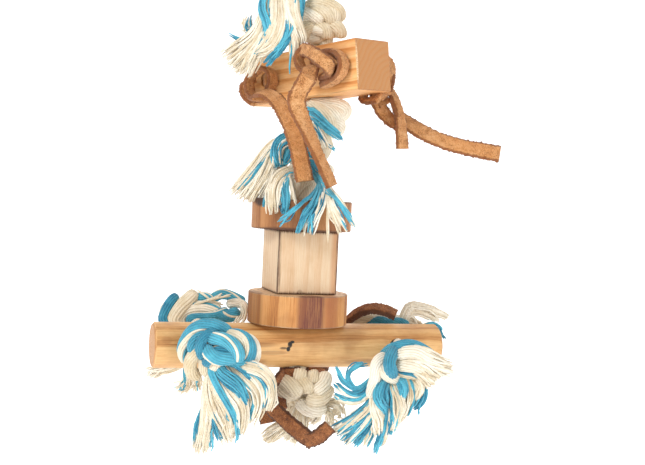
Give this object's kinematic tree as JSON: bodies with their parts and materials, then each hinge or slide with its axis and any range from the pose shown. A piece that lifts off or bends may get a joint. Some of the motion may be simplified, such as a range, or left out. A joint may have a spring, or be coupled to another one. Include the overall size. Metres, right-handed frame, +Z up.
{
  "type": "hanging parrot chew toy",
  "caption": "Hanging bird-cage chew toy: a knotted cotton rope carries a square block with leather laces, wooden discs, a cube and a round perch with frayed rope ties.",
  "frame": {"origin": "inside top of the quick link, where it sits on a cage bar", "axes": "+Z up along the hanging rope, +Y away from the front of the toy, +X to the right seen from the front"},
  "size_m": [0.1949, 0.0966, 0.3647],
  "materials": {
    "steel": "bright zinc plate",
    "cream_cotton": "undyed twisted cotton",
    "two_colour_cotton": "turquoise and undyed cotton yarn",
    "tan_leather": "suede, rough both sides",
    "brown_leather": "suede, rough both sides",
    "block_wood": "sawn, flamed honey brown",
    "cube_wood": "sawn, edges burnt brown",
    "disc_wood": "flamed brown, darker bands",
    "perch_wood": "peeled stick, smooth"
  },
  "bodies": {
    "link": {"quick_link": "steel"},
    "link_nut": {"quick_link_nut": "steel"},
    "eye": {"rope_eye": "cream_cotton", "loop_knot": "cream_cotton"},
    "upper_rope": {"top_rope": "cream_cotton", "upper_tassel_knot": "two_colour_cotton", "upper_tassel_ends": "two_colour_cotton", "upper_stop_knot": "cream_cotton", "block_rope": "cream_cotton", "lower_stop_knot": "cream_cotton"},
    "block": {"upper_block": "block_wood", "left_lace_core": "tan_leather", "left_lace_front_knot": "tan_leather", "left_lace_back_knot": "tan_leather", "right_lace_core": "tan_leather", "right_lace_front_knot": "tan_leather", "right_lace_back_knot": "tan_leather"},
    "left_tail": {"left_lace_tail": "tan_leather"},
    "front_tail": {"right_lace_front_tail": "tan_leather"},
    "short_tail": {"right_lace_short_tail": "tan_leather"},
    "long_tail": {"right_lace_long_tail": "tan_leather"},
    "middle": {"middle_rope": "cream_cotton", "middle_tassel_knot": "two_colour_cotton", "middle_tassel_left_ends": "two_colour_cotton", "middle_tassel_front_ends": "two_colour_cotton", "middle_tassel_right_ends": "two_colour_cotton", "middle_tassel_upper_ends": "two_colour_cotton"},
    "lower_rope": {"stack_rope": "cream_cotton", "bottom_lace_wrap": "brown_leather", "bottom_lace_upper_tail": "brown_leather", "bottom_knot": "cream_cotton", "bottom_rope_ends": "cream_cotton"},
    "bottom_strap": {"bottom_lace_strap": "brown_leather"},
    "bottom_short": {"bottom_lace_short_tail": "brown_leather"},
    "disc_above": {"upper_disc": "disc_wood"},
    "cube": {"cube_block": "cube_wood"},
    "disc_below": {"lower_disc": "disc_wood"},
    "perch_body": {"perch": "perch_wood"},
    "left_cross": {"left_cross_rope": "two_colour_cotton", "left_front_knot": "two_colour_cotton", "left_back_knot": "two_colour_cotton", "left_front_ends": "two_colour_cotton", "left_back_upper_ends": "two_colour_cotton", "left_back_lower_ends": "two_colour_cotton"},
    "right_cross": {"right_cross_rope": "two_colour_cotton", "right_front_knot": "two_colour_cotton", "right_back_knot": "two_colour_cotton", "right_front_ends": "two_colour_cotton", "right_back_ends": "two_colour_cotton"}
  },
  "joints": [
    {"name": "nut_travel", "type": "slide", "parent": "link", "child": "link_nut", "axis": [0, 0, 1], "range_m": [0, 0.0085]},
    {"name": "toy_swing", "type": "hinge", "parent": "link", "child": "eye", "pos_m": [0, 0, -0.042], "axis": [1, 0, 0], "range_deg": [-60, 60]},
    {"name": "toy_sway", "type": "hinge", "parent": "eye", "child": "upper_rope", "pos_m": [0, 0, -0.0833], "axis": [0, 1, 0], "range_deg": [-25, 25], "stiffness_Nm_per_rad": 0.15, "springref_deg": 7.45, "deforming": ["upper_tassel_ends"]},
    {"name": "block_turn", "type": "hinge", "parent": "upper_rope", "child": "block", "pos_m": [0, 0, -0.1457], "axis": [0, 0, 1], "range_deg": [-20, 20]},
    {"name": "left_tail_swing", "type": "hinge", "parent": "block", "child": "left_tail", "pos_m": [-0.0335, -0.0095, -0.158], "axis": [0, 1, 0], "range_deg": [-10, 30], "stiffness_Nm_per_rad": 0.01},
    {"name": "front_tail_swing", "type": "hinge", "parent": "block", "child": "front_tail", "pos_m": [-0.006, -0.0375, -0.154], "axis": [-1, 0, 0], "range_deg": [-3, 35], "stiffness_Nm_per_rad": 0.01},
    {"name": "short_tail_swing", "type": "hinge", "parent": "block", "child": "short_tail", "pos_m": [0.0385, 0.003, -0.1645], "axis": [-1, 0, 0], "range_deg": [0, 35], "stiffness_Nm_per_rad": 0.01},
    {"name": "long_tail_swing", "type": "hinge", "parent": "block", "child": "long_tail", "pos_m": [0.043, 0.0085, -0.168], "axis": [0, 1, 0], "range_deg": [-10, 45], "stiffness_Nm_per_rad": 0.01},
    {"name": "middle_sway", "type": "hinge", "parent": "upper_rope", "child": "middle", "pos_m": [0, 0, -0.1843], "axis": [0, 1, 0], "range_deg": [-12, 12], "stiffness_Nm_per_rad": 0.12, "springref_deg": 8.94, "deforming": ["middle_tassel_left_ends", "middle_tassel_front_ends", "middle_tassel_right_ends", "middle_tassel_upper_ends"]},
    {"name": "stack_nod", "type": "hinge", "parent": "middle", "child": "lower_rope", "pos_m": [-0.01041, -0.0014, -0.20917], "axis": [1, 0, 0], "range_deg": [-5, 12], "stiffness_Nm_per_rad": 0.06, "springref_deg": 0.9, "deforming": ["bottom_rope_ends"]},
    {"name": "upper_disc_turn", "type": "hinge", "parent": "lower_rope", "child": "disc_above", "pos_m": [-0.0123, 0, -0.2493], "axis": [0.0471, -0.0349, 0.9983], "continuous": true},
    {"name": "cube_turn", "type": "hinge", "parent": "lower_rope", "child": "cube", "pos_m": [-0.0123, 0, -0.2493], "axis": [0.0471, -0.0349, 0.9983], "continuous": true},
    {"name": "lower_disc_turn", "type": "hinge", "parent": "lower_rope", "child": "disc_below", "pos_m": [-0.0123, 0, -0.2493], "axis": [0.0471, -0.0349, 0.9983], "continuous": true},
    {"name": "perch_turn", "type": "hinge", "parent": "lower_rope", "child": "perch_body", "pos_m": [-0.0123, 0, -0.2493], "axis": [0.0471, -0.0349, 0.9983], "range_deg": [-25, 3]},
    {"name": "left_rope_turn", "type": "hinge", "parent": "perch_body", "child": "left_cross", "pos_m": [-0.06044, -0.01292, -0.29466], "axis": [-0.3004, 0.9526, 0.0474], "range_deg": [-12, 12], "deforming": ["left_front_ends", "left_back_upper_ends", "left_back_lower_ends"]},
    {"name": "right_rope_turn", "type": "hinge", "parent": "perch_body", "child": "right_cross", "pos_m": [0.03912, 0.01865, -0.29826], "axis": [-0.3004, 0.9526, 0.0474], "range_deg": [-12, 12], "deforming": ["right_front_ends", "right_back_ends"]},
    {"name": "bottom_strap_swing", "type": "hinge", "parent": "lower_rope", "child": "bottom_strap", "pos_m": [-0.03, -0.019, -0.325], "axis": [-1, 0, 0], "range_deg": [0, 30], "stiffness_Nm_per_rad": 0.01},
    {"name": "bottom_short_swing", "type": "hinge", "parent": "lower_rope", "child": "bottom_short", "pos_m": [-0.027, -0.008, -0.315], "axis": [0, 1, 0], "range_deg": [0, 25], "stiffness_Nm_per_rad": 0.01}
  ]
}
